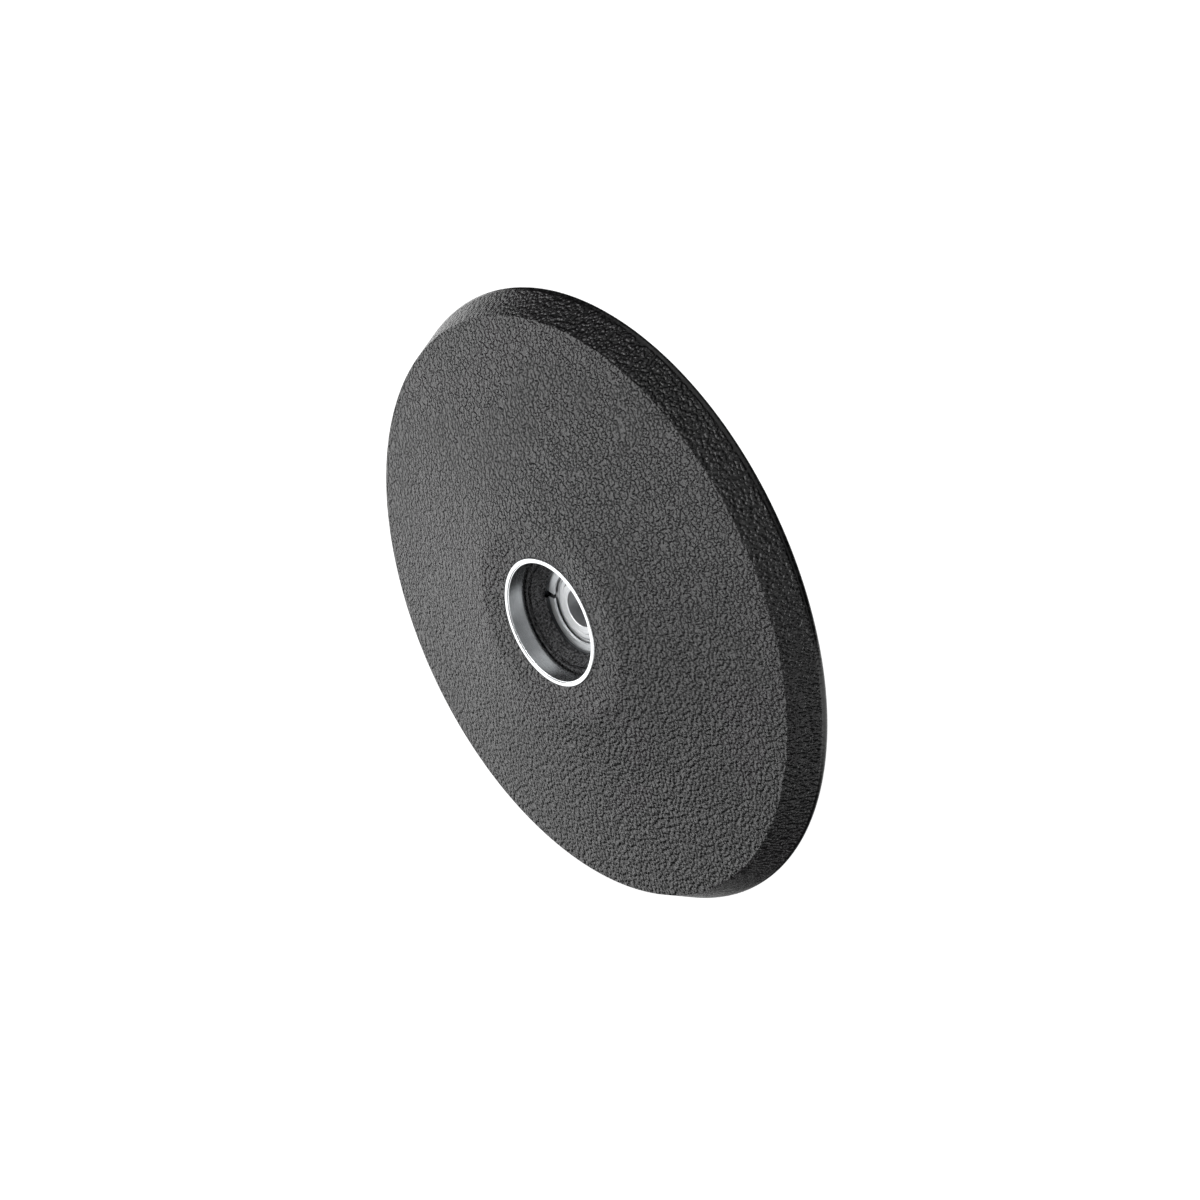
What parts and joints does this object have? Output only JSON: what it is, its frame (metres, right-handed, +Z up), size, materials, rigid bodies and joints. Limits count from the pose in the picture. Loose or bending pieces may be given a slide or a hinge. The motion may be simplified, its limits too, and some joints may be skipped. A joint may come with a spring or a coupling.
{
  "type": "disc wheel",
  "caption": "Bevelled rubber-covered disc wheel with a low front cone, a flat back and a shielded ball bearing deep in a steel-lipped hub recess.",
  "frame": {"origin": "centre of the wheel's box, on the axle's line, halfway between the mouth ring's lip and the flat back", "axes": "+Y along the axle from the hub mouth to the flat back, so the mouth faces -Y; +Z up; +X to the right seen from the front"},
  "size_m": [0.2, 0.028, 0.2],
  "materials": {
    "grained_rubber": "leather-grain moulded",
    "mild_steel": "rolled, bonded inside the rubber",
    "black_oxide_steel": "black oxide, oiled",
    "polished_steel": "turned and polished",
    "spring_steel": "bright",
    "bearing_steel": "ground",
    "shield_steel": "pressed, bright",
    "cage_brass": "pressed ribbon",
    "rivet_steel": "headed",
    "ball_steel": "lapped mirror"
  },
  "bodies": {
    "fixed_race": {"inner_race": "bearing_steel"},
    "disc": {"rubber_disc": "grained_rubber", "core_plate": "mild_steel", "hub_sleeve": "black_oxide_steel", "mouth_ring": "polished_steel", "snap_ring": "spring_steel", "outer_race": "bearing_steel", "front_shield": "shield_steel", "rear_shield": "shield_steel"},
    "cage": {"cage_front": "cage_brass", "cage_rear": "cage_brass", "cage_rivets": "rivet_steel"},
    "ball_1": {"ball_1": "ball_steel"},
    "ball_2": {"ball_2": "ball_steel"},
    "ball_3": {"ball_3": "ball_steel"},
    "ball_4": {"ball_4": "ball_steel"},
    "ball_5": {"ball_5": "ball_steel"},
    "ball_6": {"ball_6": "ball_steel"},
    "ball_7": {"ball_7": "ball_steel"},
    "ball_8": {"ball_8": "ball_steel"}
  },
  "joints": [
    {"name": "disc_spin", "type": "hinge", "parent": "fixed_race", "child": "disc", "pos_m": [0, 0.0025, 0], "axis": [0, 1, 0], "continuous": true},
    {"name": "cage_orbit", "type": "hinge", "parent": "fixed_race", "child": "cage", "pos_m": [0, 0.0025, 0], "axis": [0, 1, 0], "continuous": true},
    {"name": "ball_1_spin", "type": "hinge", "parent": "cage", "child": "ball_1", "pos_m": [0.01, 0.0025, 0], "axis": [0, 1, 0], "continuous": true},
    {"name": "ball_2_spin", "type": "hinge", "parent": "cage", "child": "ball_2", "pos_m": [0.00707, 0.0025, -0.00707], "axis": [0, 1, 0], "continuous": true},
    {"name": "ball_3_spin", "type": "hinge", "parent": "cage", "child": "ball_3", "pos_m": [0, 0.0025, -0.01], "axis": [0, 1, 0], "continuous": true},
    {"name": "ball_4_spin", "type": "hinge", "parent": "cage", "child": "ball_4", "pos_m": [-0.00707, 0.0025, -0.00707], "axis": [0, 1, 0], "continuous": true},
    {"name": "ball_5_spin", "type": "hinge", "parent": "cage", "child": "ball_5", "pos_m": [-0.01, 0.0025, 0], "axis": [0, 1, 0], "continuous": true},
    {"name": "ball_6_spin", "type": "hinge", "parent": "cage", "child": "ball_6", "pos_m": [-0.00707, 0.0025, 0.00707], "axis": [0, 1, 0], "continuous": true},
    {"name": "ball_7_spin", "type": "hinge", "parent": "cage", "child": "ball_7", "pos_m": [0, 0.0025, 0.01], "axis": [0, 1, 0], "continuous": true},
    {"name": "ball_8_spin", "type": "hinge", "parent": "cage", "child": "ball_8", "pos_m": [0.00707, 0.0025, 0.00707], "axis": [0, 1, 0], "continuous": true}
  ],
  "couplings": [
    {"joint": "cage_orbit", "follows": "disc_spin", "ratio": 0.619},
    {"joint": "ball_1_spin", "follows": "disc_spin", "ratio": 1.981},
    {"joint": "ball_2_spin", "follows": "disc_spin", "ratio": 1.981},
    {"joint": "ball_3_spin", "follows": "disc_spin", "ratio": 1.981},
    {"joint": "ball_4_spin", "follows": "disc_spin", "ratio": 1.981},
    {"joint": "ball_5_spin", "follows": "disc_spin", "ratio": 1.981},
    {"joint": "ball_6_spin", "follows": "disc_spin", "ratio": 1.981},
    {"joint": "ball_7_spin", "follows": "disc_spin", "ratio": 1.981},
    {"joint": "ball_8_spin", "follows": "disc_spin", "ratio": 1.981}
  ]
}
